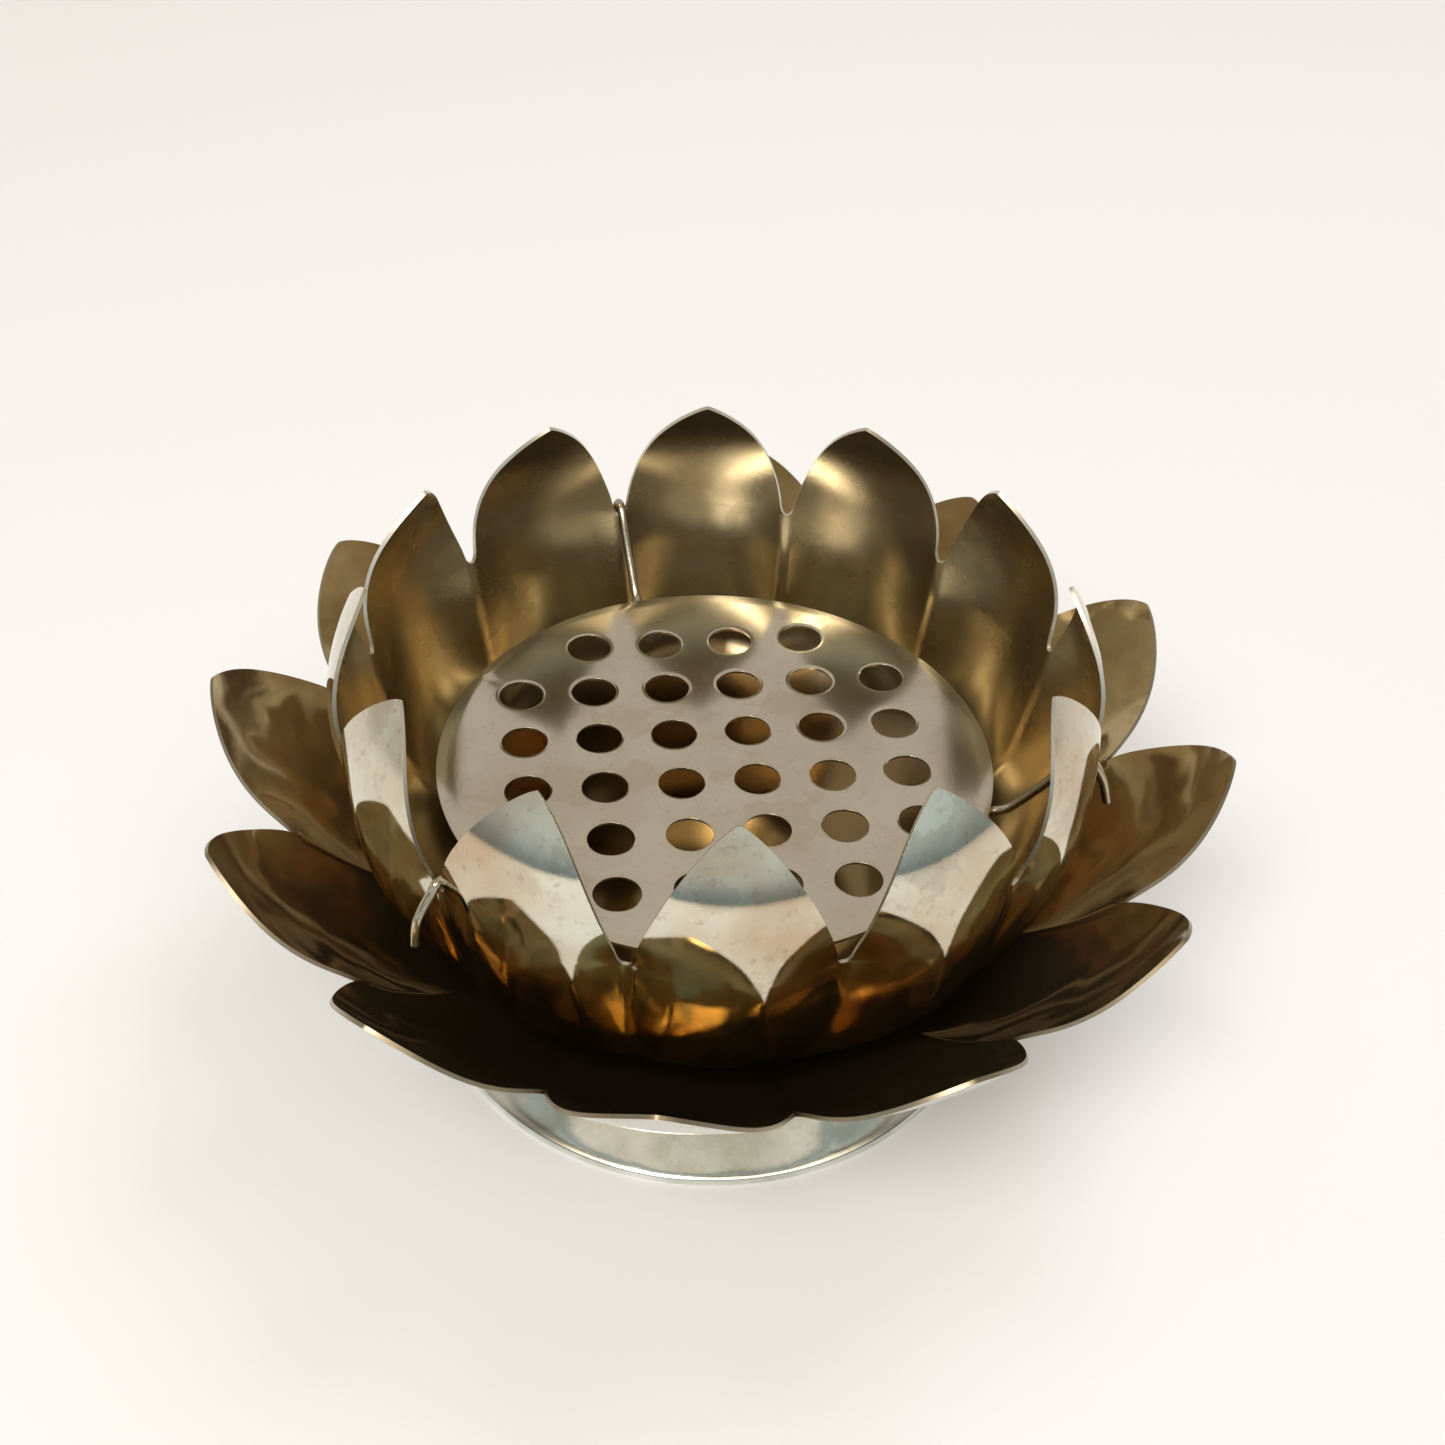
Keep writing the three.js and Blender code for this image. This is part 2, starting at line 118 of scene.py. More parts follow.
@dataclass(frozen=True)
class Finish:
    """A metal finish: its colours, its gloss, and the marks of making and wear.

    The clean metal carries a thin film of tarnish in soft clouds, fine speckles of heavier tarnish, and
    hairline wiping scratches. Polished sheet is never quite flat, so it also has a shallow swell. Below a
    height the colour turns to an even low colour, which on the cup's outside is a painted reflection of the
    outer petals, broken by dark painted streaks.
    """

    name: str
    clean: str
    tarnish: str
    speckle: str
    roughness: float
    tarnish_share: float = 0.4
    cloud_mm: float = 22.0
    speckle_mm: float = 1.1
    speckle_share: float = 0.2
    stain: str = "#6e6252"
    stain_share: float = 0.0
    stain_mm: float = 9.0
    scratch_mm: float = 0.35
    scratch_depth_mm: float = 0.006
    swell_mm: float = 24.0
    swell_height_mm: float = 0.12
    metallic: float = 1.0
    low_colour: str = ""
    low_from_mm: float = 0.0
    low_to_mm: float = 0.0
    low_roughness: float = 0.15
    # The colour of dark painted streaks in a painted reflection low down.
    painted_streak_colour: str = ""
    painted_streak_mm: float = 8.0

    def material(self) -> bpy.types.Material:
        """Builds the material.

        Returns:
            A node material on Object coordinates.
        """
        made = bpy.data.materials.new(self.name)
        made.use_nodes = True
        tree = made.node_tree
        shader = tree.nodes["Principled BSDF"]
        place = add_node(tree, "ShaderNodeTexCoord").outputs["Object"]
        colour, gloss = self._film(tree, place)
        tree.links.new(colour, shader.inputs["Base Color"])
        tree.links.new(gloss, shader.inputs["Roughness"])
        tree.links.new(self._relief(tree, place), shader.inputs["Normal"])
        shader.inputs["Metallic"].default_value = self.metallic
        return made

    def _film(
        self, tree: bpy.types.NodeTree, place: bpy.types.NodeSocket
    ) -> tuple[bpy.types.NodeSocket, bpy.types.NodeSocket]:
        """Lays the tarnish over the clean metal.

        Args:
            tree: The material's node tree.
            place: The Object coordinates.

        Returns:
            The sockets of the colour and of the roughness.
        """
        # Clouds of tarnish, tens of millimetres across, which dull the gloss a little.
        clouds = self._noise(tree, place, self.cloud_mm, 5.0)
        spread = self._range(tree, clouds, (0.36, 0.64), (0.0, self.tarnish_share * 2))
        colour = self._mix(tree, spread, linear(self.clean), linear(self.tarnish))
        gloss = self._range(tree, clouds, (0.3, 0.7), (self.roughness * 0.8, self.roughness * 1.25))
        # Below a height the metal turns to its low colour: a painted reflection on the cup's outside, and
        # partly painted shade in the cup's floor.
        if self.low_colour:
            height = add_node(tree, "ShaderNodeSeparateXYZ", {"Vector": place}).outputs["Z"]
            low = self._range(tree, height, (self.low_from_mm * MM, self.low_to_mm * MM), (1.0, 0.0))
            low_tone = linear(self.low_colour)
            if self.painted_streak_colour:
                # Painted reflection: the low colour is broken by dark painted streaks, ten times as long as
                # they are wide.
                drawn = add_node(tree, "ShaderNodeMapping", {"Vector": place, "Scale": (1.0, 1.0, 0.1)})
                painted_streaks = self._noise(tree, drawn.outputs["Vector"], self.painted_streak_mm, 1.0)
                streak_mask = self._range(tree, painted_streaks, (0.45, 0.53), (0.0, 1.0))
                low_tone = self._mix(tree, streak_mask, low_tone, linear(self.painted_streak_colour))
            colour = self._mix(tree, low, colour, low_tone)
            gloss = self._range(tree, low, (0.0, 1.0), (gloss, self.low_roughness))
        if self.stain_share:
            # Dried-on splashes, with an edge a good deal darker than their middle.
            splashes = self._noise(tree, place, self.stain_mm, 6.0)
            drawn = self._range(tree, splashes, (0.56, 0.585), (0.0, self.stain_share))
            colour = self._mix(tree, drawn, colour, linear(self.stain))
        # Speckles of heavier tarnish, about a millimetre across.
        specks = self._noise(tree, place, self.speckle_mm, 3.0)
        dotted = self._range(tree, specks, (0.58, 0.72), (0.0, self.speckle_share))
        colour = self._mix(tree, dotted, colour, linear(self.speckle))
        return colour, gloss

    def _relief(self, tree: bpy.types.NodeTree, place: bpy.types.NodeSocket) -> bpy.types.NodeSocket:
        """Lays hairline scratches from wiping, stretched ten to one, over the sheet's own shallow swell.

        Args:
            tree: The material's node tree.
            place: The Object coordinates.

        Returns:
            The socket of the bumped normal.
        """
        lay = {"Vector": place, "Rotation": (0.3, 0.2, 0.7), "Scale": (1.0, 0.1, 1.0)}
        stretched = add_node(tree, "ShaderNodeMapping", lay)
        scratches = self._noise(tree, stretched.outputs["Vector"], self.scratch_mm, 2.0)
        swell = self._noise(tree, place, self.swell_mm, 1.0)
        fine = add_node(tree, "ShaderNodeBump", {"Height": scratches, "Distance": self.scratch_depth_mm * MM})
        wide = add_node(
            tree,
            "ShaderNodeBump",
            {"Height": swell, "Distance": self.swell_height_mm * MM, "Normal": fine.outputs["Normal"]},
        )
        return wide.outputs["Normal"]

    @staticmethod
    def _noise(
        tree: bpy.types.NodeTree, place: bpy.types.NodeSocket, size_mm: float, detail: float
    ) -> bpy.types.NodeSocket:
        """Adds noise with features of about this size in mm, and returns its value's socket."""
        values = {"Vector": place, "Scale": per_mm(size_mm), "Detail": detail, "Roughness": 0.58}
        return add_node(tree, "ShaderNodeTexNoise", values).outputs["Fac"]

    @staticmethod
    def _range(
        tree: bpy.types.NodeTree,
        value: bpy.types.NodeSocket,
        source: tuple[float, float],
        target: tuple[object, object],
    ) -> bpy.types.NodeSocket:
        """Maps a value from one range to another, clamped, and returns the result's socket."""
        values = {
            "Value": value,
            "From Min": source[0],
            "From Max": source[1],
            "To Min": target[0],
            "To Max": target[1],
        }
        return add_node(tree, "ShaderNodeMapRange", values).outputs["Result"]

    @staticmethod
    def _mix(
        tree: bpy.types.NodeTree, factor: bpy.types.NodeSocket, first: object, second: object
    ) -> bpy.types.NodeSocket:
        """Mixes two colours, each a socket or a constant, and returns the result's socket."""
        mixed = add_node(tree, "ShaderNodeMix", {"Factor": factor, "A": first, "B": second}, data_type="RGBA")
        return mixed.outputs[2]


# Silver plate inside the cup: left satin from the pressing, so it glows softly, with an olive-gold film.
# The water reservoir under the frog stays shinier, with amber patina where water has stood, darkened as
# painted shade under the disc.
SATIN_INSIDE = Finish(
    "satin_silver_plate_inside",
    clean="#c2b898",
    tarnish="#a39576",
    speckle="#857a5e",
    roughness=0.27,
    tarnish_share=0.35,
    speckle_share=0.1,
    scratch_depth_mm=0.003,
    swell_height_mm=0.08,
    # Amber patina in the floor, darkened as painted shade under the disc.
    low_colour="#8f7a58",
    low_from_mm=34.0,
    low_to_mm=60.0,
    low_roughness=0.11,
)
# Buffed silver plate outside the cup: a mirror, faintly warm and mottled where the plate is thin. Low down,
# where it stands close to the outer petals, it carries a painted reflection of them: gold, in dark painted
# streaks.
POLISHED_OUTSIDE = Finish(
    "polished_silver_plate_outside",
    clean="#dadac9",
    tarnish="#c2ad93",
    speckle="#8f7660",
    roughness=0.06,
    tarnish_share=0.5,
    cloud_mm=30.0,
    speckle_mm=1.8,
    speckle_share=0.35,
    stain="#a79a8a",
    stain_share=0.3,
    stain_mm=13.0,
    swell_height_mm=0.2,
    # Painted reflection of the outer petals low down: gold, in dark painted streaks.
    low_colour="#f0c67c",
    low_from_mm=42.0,
    low_to_mm=62.0,
    low_roughness=0.05,
    painted_streak_colour="#3c2e1e",
    painted_streak_mm=9.0,
)
# The plate's upper side: polished, under an even brown tarnish, and darker low down by the cup.
# The film isn't metal, so it spreads a little of the light.
TARNISHED_PLATE = Finish(
    "tarnished_silver_plate",
    clean="#c4b08a",
    tarnish="#a38f68",
    speckle="#6e5a3c",
    roughness=0.08,
    metallic=0.95,
    cloud_mm=16.0,
    stain_share=0.25,
    stain="#7d6646",
    stain_mm=26.0,
    swell_mm=15.0,
    swell_height_mm=0.42,
    low_colour="#80704f",
    low_from_mm=24.0,
    low_to_mm=52.0,
    low_roughness=0.07,
)
# The plate's underside is out of reach of water and hands, so it has kept its pale shine.
PLATE_UNDERSIDE = Finish(
    "polished_silver_plate_underside", clean="#dddbd2", tarnish="#c6bfae", speckle="#8d8068", roughness=0.12
)
# Cut edges rub bright on the plating rack and in use.
CUT_EDGE = Finish(
    "rubbed_silver_edge",
    clean="#dcd8cb",
    tarnish="#c2b9a4",
    speckle="#94876c",
    roughness=0.34,
    swell_height_mm=0.0,
)
# The outer petals' edges have dulled with the sheet.
PLATE_EDGE = Finish(
    "tarnished_sheet_edge",
    clean="#a59a84",
    tarnish="#857a64",
    speckle="#665a44",
    roughness=0.36,
    swell_height_mm=0.0,
)
# The foot is handled and wiped most, so it is the whitest, with a cloudy shine.
FOOT_POLISH = Finish(
    "polished_silver_plate_foot",
    clean="#f4f4ee",
    tarnish="#d3d5c9",
    speckle="#a39e8c",
    roughness=0.12,
    tarnish_share=0.5,
    cloud_mm=14.0,
    swell_mm=18.0,
    swell_height_mm=0.3,
)
# The disc is brushed and wiped, so it spreads the light, with splash marks and a few dark specks.
DISC_SATIN = Finish(
    "brushed_silver_plate_disc",
    clean="#dad3c8",
    tarnish="#cbc1b2",
    speckle="#8a7a64",
    roughness=0.15,
    speckle_mm=1.3,
    speckle_share=0.15,
    stain="#bfb39e",
    stain_share=0.35,
    stain_mm=20.0,
    swell_height_mm=0.1,
)
# Drawn wire is smooth along its length, so it carries one narrow line of light.
WIRE_PLATE = Finish(
    "silver_plated_wire",
    clean="#d8d2c4",
    tarnish="#ab9d80",
    speckle="#6f5f45",
    roughness=0.18,
    swell_height_mm=0.0,
)
# Soft solder dulls to a lumpy grey skin.
SOLDER = Finish(
    "soft_solder",
    clean="#a5a19a",
    tarnish="#827d74",
    speckle="#5f5a50",
    roughness=0.42,
    cloud_mm=4.0,
    swell_mm=3.0,
    swell_height_mm=0.12,
)
# Zinc plate is a bluish grey, with an even satin gloss.
ZINC_STEEL = Finish(
    "zinc_plated_steel",
    clean="#b9babb",
    tarnish="#9a9b99",
    speckle="#77756e",
    roughness=0.34,
    cloud_mm=5.0,
    speckle_mm=0.5,
    swell_height_mm=0.0,
)
# Moulded rubber: matt, a little bloomed, with the fine grain of its mould.
RUBBER = Finish(
    "moulded_rubber",
    clean="#2b2a28",
    tarnish="#3c3a36",
    speckle="#55524a",
    roughness=0.8,
    cloud_mm=4.0,
    speckle_mm=0.6,
    scratch_depth_mm=0.02,
    swell_height_mm=0.0,
    metallic=0.0,
)


# ---- Geometry helpers ----


def whole(mesh: bmesh.types.BMesh) -> list[bmesh.types.BMVert | bmesh.types.BMEdge | bmesh.types.BMFace]:
    """All of a mesh's vertices, edges and faces, as operators take them."""
    return mesh.verts[:] + mesh.edges[:] + mesh.faces[:]


def lowest_mm(node: str) -> float:
    """The height of the lowest point of a CAD node, in mm."""
    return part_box(node)[0].z / MM


def finished_piece(
    name: str,
    mesh: bmesh.types.BMesh,
    finishes: list[bpy.types.Material],
    body: Body,
    nodes: Iterable[str],
) -> bpy.types.Object:
    """Makes an object from a bmesh, dresses it, and hands it to the frame.

    Args:
        name: The piece's name.
        mesh: Its shape, in place, which is freed.
        finishes: Its materials, in slot order.
        body: The body it rides on.
        nodes: The CAD nodes that it stands for.

    Returns:
        The new object.
    """
    data = bpy.data.meshes.new(name)
    mesh.to_mesh(data)
    mesh.free()
    for finish in finishes:
        data.materials.append(finish)
    data.shade_smooth()
    piece = bpy.data.objects.new(name, data)
    bpy.context.scene.collection.objects.link(piece)
    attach(piece, body.value)
    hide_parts(*nodes)
    log.info("%s: %d faces before its modifiers", name, len(data.polygons))
    return piece


def round_edges(piece: bpy.types.Object, width_mm: float, segments: int = 3, angle: float = 50.0) -> None:
    """Rounds a piece's sharp edges with a live Bevel modifier.

    Args:
        piece: The object to finish.
        width_mm: How wide the rounding is.
        segments: Its number of steps.
        angle: Edges sharper than this many degrees are rounded.
    """
    bevel = piece.modifiers.new("rounded_edges", "BEVEL")
    bevel.width = width_mm * MM
    bevel.segments = segments
    bevel.limit_method = "ANGLE"
    bevel.angle_limit = math.radians(angle)
    bevel.harden_normals = True


def turned(section: list[tuple[float, float]], steps: int) -> bmesh.types.BMesh:
    """Spins a section about the Z axis into a closed solid.

    Args:
        section: Radius and height of each corner in mm. It closes on itself unless it starts on the axis.
        steps: Facets in the full turn.

    Returns:
        A bmesh with its faces pointing out.
    """
    mesh = bmesh.new()
    corners = [mesh.verts.new((radius * MM, 0.0, height * MM)) for radius, height in section]
    for first, second in zip(corners, corners[1:]):
        mesh.edges.new((first, second))
    if section[0][0] > 0:
        mesh.edges.new((corners[-1], corners[0]))
    bmesh.ops.spin(
        mesh,
        geom=mesh.verts[:] + mesh.edges[:],
        cent=(0.0, 0.0, 0.0),
        axis=UP,
        angle=2 * math.pi,
        steps=steps,
        use_merge=True,
    )
    bmesh.ops.remove_doubles(mesh, verts=mesh.verts, dist=1e-6)
    bmesh.ops.recalc_face_normals(mesh, faces=mesh.faces)
    return mesh


def smooth_through(points: list[tuple[float, float]], steps: int) -> list[Vector]:
    """Runs a Catmull-Rom curve through points in a plane.

    Args:
        points: The points to pass through.
        steps: How many pieces each span is cut into.

    Returns:
        The curve's points, from the first to the last.
    """
    knots = [Vector(point) for point in points]
    curve = []
    for i in range(len(knots) - 1):
        before = knots[max(i - 1, 0)]
        start, end = knots[i], knots[i + 1]
        after = knots[min(i + 2, len(knots) - 1)]
        for step in range(steps):
            t = step / steps
            pull_in = (end - before) * 0.5
            pull_out = (after - start) * 0.5
            curve.append(
                start * (2 * t**3 - 3 * t**2 + 1)
                + end * (3 * t**2 - 2 * t**3)
                + pull_in * (t**3 - 2 * t**2 + t)
                + pull_out * (t**3 - t**2)
            )
    curve.append(knots[-1])
    return curve


def lerp(first: float, second: float, share: float) -> float:
    """The value a share of the way from first to second."""
    return first + (second - first) * share


def smoothstep(value: float, low: float, high: float) -> float:
    """Rises smoothly from 0 at low to 1 at high."""
    share = min(max((value - low) / (high - low), 0.0), 1.0)
    return share * share * (3 - 2 * share)


# ---- Bowl ----


@dataclass
class PetalSheet:
    """A pressed sheet of twelve petals, each a trough about its centre line.

    Neighbouring troughs meet in a crease up to the notch, and above it each petal narrows and flattens to
    its tip.
    """

    name: str
    node: str
    slot: str
    centre_line: list[tuple[float, float]]
    trough_radius: float
    tip_trough_radius: float
    fade_from: float
    fade_to: float
    notch_height: float
    notch_depth: float
    half_width: float
    tip_power: tuple[float, float]
    turn_degrees: float = 0.0
    thickness: float = 0.8
    columns: int = 26
    bowl_rows: int = 34
    notch_rows: int = 7
    tip_rows: int = 26
    waviness: float = 0.12
    seed: float = 0.0
    samples: list[Vector] = field(default_factory=list)
    lengths: list[float] = field(default_factory=list)
    notch_at: float = 0.0

    def __post_init__(self) -> None:
        """Measures the centre line and finds the notch along it."""
        self.samples = smooth_through(self.centre_line, 40)
        self.lengths = [0.0]
        for first, second in zip(self.samples, self.samples[1:]):
            self.lengths.append(self.lengths[-1] + (second - first).length)
        low, high = self.lengths[-1] / 4, self.lengths[-1]
        while high - low > 0.001:
            middle = (low + high) / 2
            centre, normal, bend, crease = self.section(middle)
            if centre.y + normal.y * bend * crease**2 < self.notch_height:
                low = middle
            else:
                high = middle
        self.notch_at = low

    def section(self, distance: float) -> tuple[Vector, Vector, float, float]:
        """Cuts the petal across.

        Args:
            distance: How far along the centre line, in mm.

        Returns:
            The centre point and inward normal as radius and height, the trough's bend, and how far to the
            side the crease is.
        """
        i = min(max(bisect_right(self.lengths, distance) - 1, 0), len(self.samples) - 2)
        span = self.samples[i + 1] - self.samples[i]
        share = (distance - self.lengths[i]) / (self.lengths[i + 1] - self.lengths[i])
        centre = self.samples[i] + span * share
        before = self.samples[max(i - 1, 0)]
        after = self.samples[min(i + 2, len(self.samples) - 1)]
        tangent = (after - before).normalized()
        normal = Vector((-tangent.y, tangent.x))
        slope = math.tan(HALF_PETAL)
        flattening = smoothstep(centre.y, self.notch_height, self.centre_line[-1][1])
        bend = 1 / (2 * lerp(self.trough_radius, self.tip_trough_radius, flattening))
        root = math.sqrt(1 - 4 * slope**2 * normal.x * bend * centre.x)
        return centre, normal, bend, 2 * slope * centre.x / (1 + root)

    def half_width_at(self, distance: float, crease: float) -> float:
        """Half the petal's width: the crease below the notch, then the notch's curve and the petal's outline.

        Args:
            distance: How far along the centre line, in mm.
            crease: How far to the side the crease is there.

        Returns:
            Half the width in mm.
        """
        if distance <= self.notch_at:
            return crease
        rise = min((distance - self.notch_at) / (self.lengths[-1] - self.notch_at), 1.0)
        outline = self.half_width * (1 - rise ** self.tip_power[0]) ** self.tip_power[1]
        opened = min((distance - self.notch_at) / self.notch_depth, 1.0)
        return crease - (crease - min(outline, crease)) * math.sqrt(1 - (1 - opened) ** 2)

    def point(self, distance: float, across: float) -> Vector:
        """A point of the sheet's middle surface.

        Args:
            distance: How far along the centre line, in mm.
            across: From -1 at the petal's left edge to 1 at its right.

        Returns:
            The point in metres, on the petal that is centred on +Y.
        """
        centre, normal, bend, crease = self.section(distance)
        side = across * self.half_width_at(distance, crease)
        turn = HALF_PETAL * side / crease
        fade = smoothstep(centre.y, self.fade_from, self.fade_to)
        rise = bend * side**2
        return MM * Vector(
            (
                lerp(centre.x * math.sin(turn), side, fade),
                lerp(centre.x * math.cos(turn), centre.x + normal.x * rise, fade),
                lerp(centre.y, centre.y + normal.y * rise, fade),
            )
        )

    def row_distances(self) -> list[float]:
        """Distances along the petal of each row of vertices, closest together at the notch and the tip."""
        rows = [self.notch_at * i / self.bowl_rows for i in range(self.bowl_rows + 1)]
        for i in range(1, self.notch_rows + 1):
            rows.append(self.notch_at + self.notch_depth * (i / self.notch_rows) ** 2)
        top = self.lengths[-1]
        for i in range(1, self.tip_rows + 1):
            rows.append(lerp(self.notch_at + self.notch_depth, top, 1 - (1 - i / self.tip_rows) ** 1.7))
        return rows

    def mesh(self) -> bmesh.types.BMesh:
        """Builds the sheet's middle surface, all twelve petals welded along their creases."""
        rows = self.row_distances()
        last = len(rows) - 1
        mesh = bmesh.new()
        bmesh.ops.create_grid(mesh, x_segments=self.columns, y_segments=last, size=1.0)
        for vert in mesh.verts:
            row = round((vert.co.y + 1) / 2 * last)
            vert.co = self.point(rows[row], vert.co.x)
        bmesh.ops.spin(
            mesh,
            geom=whole(mesh),
            cent=(0.0, 0.0, 0.0),
            axis=UP,
            angle=2 * math.pi * (PETALS - 1) / PETALS,
            steps=PETALS - 1,
            use_duplicate=True,
        )
        bmesh.ops.remove_doubles(mesh, verts=mesh.verts, dist=5e-6)
        bmesh.ops.dissolve_degenerate(mesh, edges=mesh.edges, dist=2e-6)
        mesh.normal_update()
        self._press_unevenly(mesh)
        turn = Matrix.Rotation(-math.radians(self.turn_degrees), 4, "Z")
        bmesh.ops.transform(mesh, matrix=turn, verts=mesh.verts)
        if sum(face.normal.z for face in mesh.faces) < 0:
            bmesh.ops.reverse_faces(mesh, faces=mesh.faces)
        return mesh

    def _press_unevenly(self, mesh: bmesh.types.BMesh) -> None:
        """Gives the sheet the slight unevenness of hand pressing, fading out at the clamped floor."""
        for vert in mesh.verts:
            spread = smoothstep(vert.co.xy.length / MM, 30, 50)
            swell = noise.noise(vert.co / (22 * MM) + Vector((self.seed, 0, 0)))
            vert.co += vert.normal * swell * spread * self.waviness * MM

    def dress(self, inside: Finish, outside: Finish, edge: Finish) -> bpy.types.Object:
        """Gives the sheet its thickness and finishes.

        Args:
            inside: The finish of the side that faces up and in.
            outside: The finish of the side that faces down and out.
            edge: The finish of the cut edge.

        Returns:
            The finished piece.
        """
        finishes = [inside.material(), outside.material(), edge.material()]
        piece = finished_piece(self.name, self.mesh(), finishes, Body.BOWL, [self.node])
        wall = piece.modifiers.new("sheet_thickness", "SOLIDIFY")
        wall.thickness = self.thickness * MM
        wall.offset = 0.0
        wall.use_even_offset = True
        wall.material_offset = 1
        wall.material_offset_rim = 2
        round_edges(piece, 0.2, segments=2, angle=60.0)
        return piece


@dataclass
class Foot:
    """The trumpet-shaped foot, one spun sheet with a flat base ring and a flat top."""

    flare: list[tuple[float, float]]
    thickness: float = 1.2
    hole_radius: float = 3.0
    steps: int = 180

    def mesh(self) -> bmesh.types.BMesh:
        """Spins the foot's wall."""
        low, high = (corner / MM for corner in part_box("foot"))
        radius, top = high.x, high.z
        outside = smooth_through([(radius, 1.0), *self.flare], 5)
        inside = []
        for i, point in enumerate(outside):
            ahead = (outside[min(i + 1, len(outside) - 1)] - outside[max(i - 1, 0)]).normalized()
            inside.append((point.x - ahead.y * self.thickness, point.y + ahead.x * self.thickness))
        underside = top - self.thickness
        section = [(radius, low.z), *((p.x, p.y) for p in outside), (outside[-1].x - 0.8, top)]
        section += [(self.hole_radius, top), (self.hole_radius, underside)]
        section += [p for p in reversed(inside) if 0.6 < p[1] < underside - 0.4]
        section.append((radius - self.thickness, low.z))
        return turned(section, self.steps)

    def dress(self) -> bpy.types.Object:
        """Polishes the foot."""
        piece = finished_piece(
            "foot_spinning", self.mesh(), [FOOT_POLISH.material()], Body.BOWL, ["foot"]
        )
        round_edges(piece, 0.25)
        return piece


# ---- Frog ----


@dataclass
class FrogDisc:
    """The drilled disc: a square grid of stem holes less its corners, in a disc with a rolled-down rim."""

    grid: int = 6
    pitch: float = 15.7
    hole_radius: float = 4.75
    turn_degrees: float = 4.2
    roll_width: float = 2.5
    roll_past: float = 0.8
    roll_steepness: float = 1.35
    thickness: float = 1.0
    hole_segments: int = 48
    die_roll_width: float = 1.0
    die_roll_depth: float = 0.18
    rings: int = 8

    def cells(self) -> Iterable[tuple[float, float]]:
        """The centres of the grid's drilled cells, in mm."""
        last = self.grid - 1
        for row in range(self.grid):
            for column in range(self.grid):
                if row in (0, last) and column in (0, last):
                    continue
                yield (column - last / 2) * self.pitch, (row - last / 2) * self.pitch

    def _cell(self, mesh: bmesh.types.BMesh) -> list[bmesh.types.BMVert]:
        """Adds one square cell with its hole, centred on the origin, and returns its vertices.

        The punch draws the metal down around the hole, so its edge is rolled in.
        """
        circle = bmesh.ops.create_circle(mesh, segments=self.hole_segments, radius=self.hole_radius * MM)
        verts = circle["verts"]
        edges = list({edge for vert in verts for edge in vert.link_edges})
        for vert in verts:
            vert.co.z = -self.die_roll_depth * MM
        for share in (0.08, 0.2, 0.4, 0.68, 1.0, 0.0):
            grown = bmesh.ops.extrude_edge_only(mesh, edges=edges)["geom"]
            ring = [item for item in grown if isinstance(item, bmesh.types.BMVert)]
            edges = [item for item in grown if isinstance(item, bmesh.types.BMEdge)]
            edges = [edge for edge in edges if all(vert in ring for vert in edge.verts)]
            outer = self.hole_radius + share * self.die_roll_width
            for vert in ring:
                flat = vert.co.xy
                square = self.pitch / 2 * MM * flat.length / max(abs(flat.x), abs(flat.y))
                reach = outer * MM if share else square
                vert.co.xy = flat.normalized() * reach
                vert.co.z = -self.die_roll_depth * (1 - share) ** 3 * MM if share else 0.0
            verts += ring
        return verts

    def mesh(self) -> bmesh.types.BMesh:
        """Builds the disc's top surface: the drilled cells, and rings out to the rolled rim."""
        low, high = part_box("frog_disc")
        radius, top = high.x, high.z
        mesh = bmesh.new()
        cells = list(self.cells())
        first = self._cell(mesh)
        faces = list(mesh.faces)
        for x, y in cells[1:]:
            edges = list({edge for vert in first for edge in vert.link_edges})
            copy = bmesh.ops.duplicate(mesh, geom=first + edges + faces)
            verts = [item for item in copy["geom"] if isinstance(item, bmesh.types.BMVert)]
            bmesh.ops.translate(mesh, verts=verts, vec=(x * MM, y * MM, 0.0))
        bmesh.ops.translate(mesh, verts=first, vec=(cells[0][0] * MM, cells[0][1] * MM, 0.0))
        bmesh.ops.remove_doubles(mesh, verts=mesh.verts, dist=1e-5)
        hole_reach = (self.hole_radius + 0.1) * MM
        rim = [
            edge
            for edge in mesh.edges
            if edge.is_boundary
            and all(
                min((vert.co.xy - Vector((x * MM, y * MM))).length for x, y in cells) > hole_reach
                for vert in edge.verts
            )
        ]
        start = {vert: vert.co.xy.copy() for edge in rim for vert in edge.verts}
        for ring in range(1, self.rings + 1):
            grown = bmesh.ops.extrude_edge_only(mesh, edges=rim)["geom"]
            verts = [item for item in grown if isinstance(item, bmesh.types.BMVert)]
            new = set(verts)
            edges = [item for item in grown if isinstance(item, bmesh.types.BMEdge)]
            rim = [edge for edge in edges if all(vert in new for vert in edge.verts)]
            share = ring / self.rings
            nearest = {tuple(round(c, 7) for c in old.co.xy): xy for old, xy in start.items() if old.is_valid}
            start = {vert: nearest[tuple(round(c, 7) for c in vert.co.xy)] for vert in verts}
            for vert in verts:
                base = start[vert]
                vert.co.xy = base.normalized() * lerp(base.length, radius, share)
        drop = top - (low.z + self.thickness * MM)
        for vert in mesh.verts:
            roll = smoothstep(vert.co.xy.length, radius - self.roll_width * MM, radius + self.roll_past * MM)
            vert.co.z += top - roll * drop * self.roll_steepness
        turn = Matrix.Rotation(math.radians(self.turn_degrees), 4, "Z")
        bmesh.ops.transform(mesh, matrix=turn, verts=mesh.verts)
        bmesh.ops.recalc_face_normals(mesh, faces=mesh.faces)
        if sum(face.normal.z for face in mesh.faces) < 0:
            bmesh.ops.reverse_faces(mesh, faces=mesh.faces)
        return mesh

